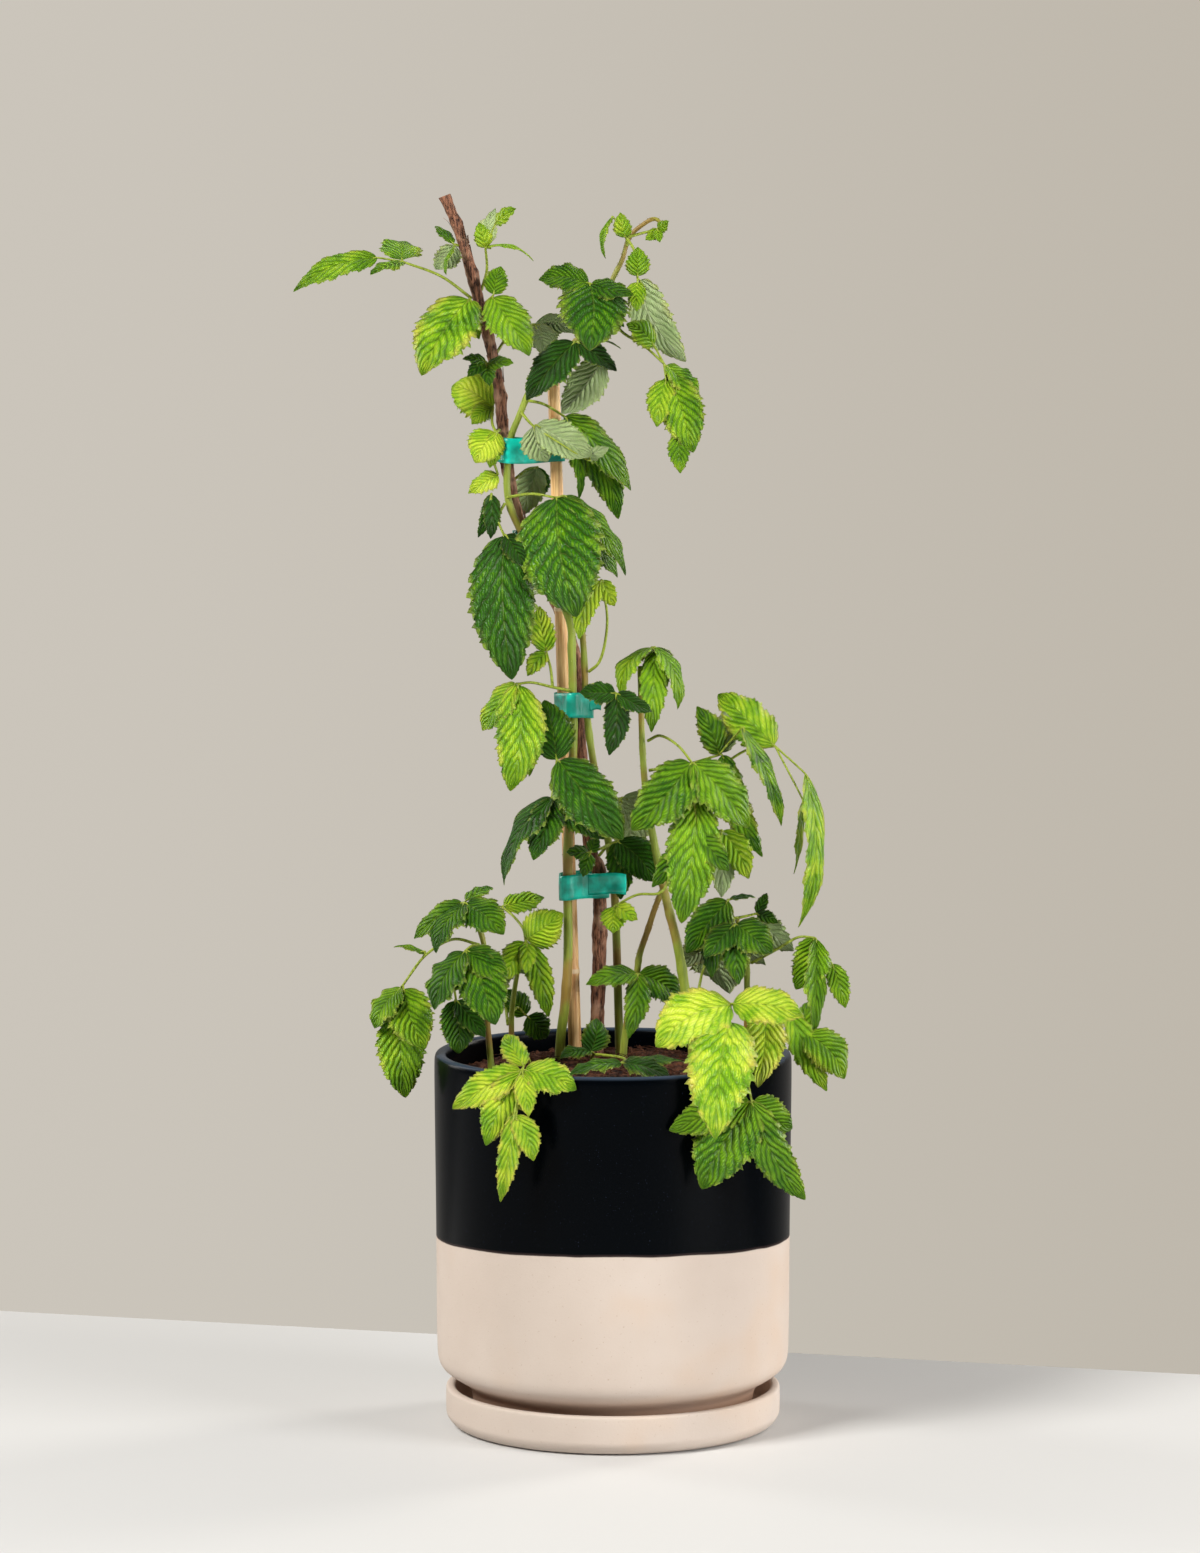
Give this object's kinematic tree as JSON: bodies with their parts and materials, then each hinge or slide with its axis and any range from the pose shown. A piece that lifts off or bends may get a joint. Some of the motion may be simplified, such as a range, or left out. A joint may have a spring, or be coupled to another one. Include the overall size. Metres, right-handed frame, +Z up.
{
  "type": "potted raspberry plant",
  "caption": "Young raspberry plant with toothed compound leaves, its canes tied to a bamboo stake, in a two-tone cylindrical stoneware pot on a round saucer.",
  "frame": {"origin": "centre of the saucer's underside, where the pot stands on a table", "axes": "+Z up along the pot's axis and the stake; -Y is the front"},
  "size_m": [0.2757, 0.1925, 0.6153],
  "materials": {
    "glazed_pot": "satin near-black glaze on the upper part, bare beige stoneware below the glaze line",
    "raw_clay": "unglazed beige stoneware, matte with fine specks",
    "soil": "dark red-brown coir fibre and bark crumbs, matte",
    "bamboo": "tan bamboo with pale node rings, slight sheen",
    "bark": "brown peeling bark, rough",
    "green_stem": "yellow-green young cane with tiny prickles and a brown tinge",
    "tape": "teal stretch nursery tape, slightly translucent",
    "leaf": "toothed leaf, dark to yellow-green above with sunken veins, pale sage beneath"
  },
  "bodies": {
    "root": {"bamboo_stake": "bamboo", "green_cane_second": "green_stem", "green_cane_tall": "green_stem", "leaf_arched": "leaf", "leaf_back_centre": "leaf", "leaf_back_left": "leaf", "leaf_back_middle": "leaf", "leaf_back_right": "leaf", "leaf_back_top": "leaf", "leaf_behind_right": "leaf", "leaf_behind_tie": "leaf", "leaf_below_centre": "leaf", "leaf_big_three_part": "leaf", "leaf_cane_knot": "leaf", "leaf_cane_low": "leaf", "leaf_cane_tip": "leaf", "leaf_cane_tip_right": "leaf", "leaf_centre": "leaf", "leaf_dark_arch": "leaf", "leaf_droop_left": "leaf", "leaf_far_left": "leaf", "leaf_far_left_low": "leaf", "leaf_far_right": "leaf", "leaf_five_part": "leaf", "leaf_front_left": "leaf", "leaf_front_low_right": "leaf", "leaf_hanging_right": "leaf", "leaf_hoops": "leaf", "leaf_left_dark": "leaf", "leaf_left_middle": "leaf", "leaf_left_round": "leaf", "leaf_left_top": "leaf", "leaf_low_knot": "leaf", "leaf_low_right": "leaf", "leaf_mid_shade": "leaf", "leaf_pale_twist": "leaf", "leaf_right_edge": "leaf", "leaf_right_rim": "leaf", "leaf_small_dark": "leaf", "leaf_soil_front": "leaf", "leaf_three_part": "leaf", "leaf_top_middle": "leaf", "leaf_top_tip": "leaf", "leaf_under_big": "leaf", "leaf_upper_left": "leaf", "leaf_upper_right": "leaf", "leaf_yellow_front": "leaf", "pot": "glazed_pot", "right_cane": "green_stem", "saucer": "raw_clay", "shoot_left": "green_stem", "shoot_left_inner": "green_stem", "shoot_right": "green_stem", "soil": "soil", "thin_cane": "green_stem", "tie_lower": "tape", "tie_middle": "tape", "tie_second": "tape", "tie_upper": "tape", "woody_cane": "bark"}
  },
  "joints": []
}
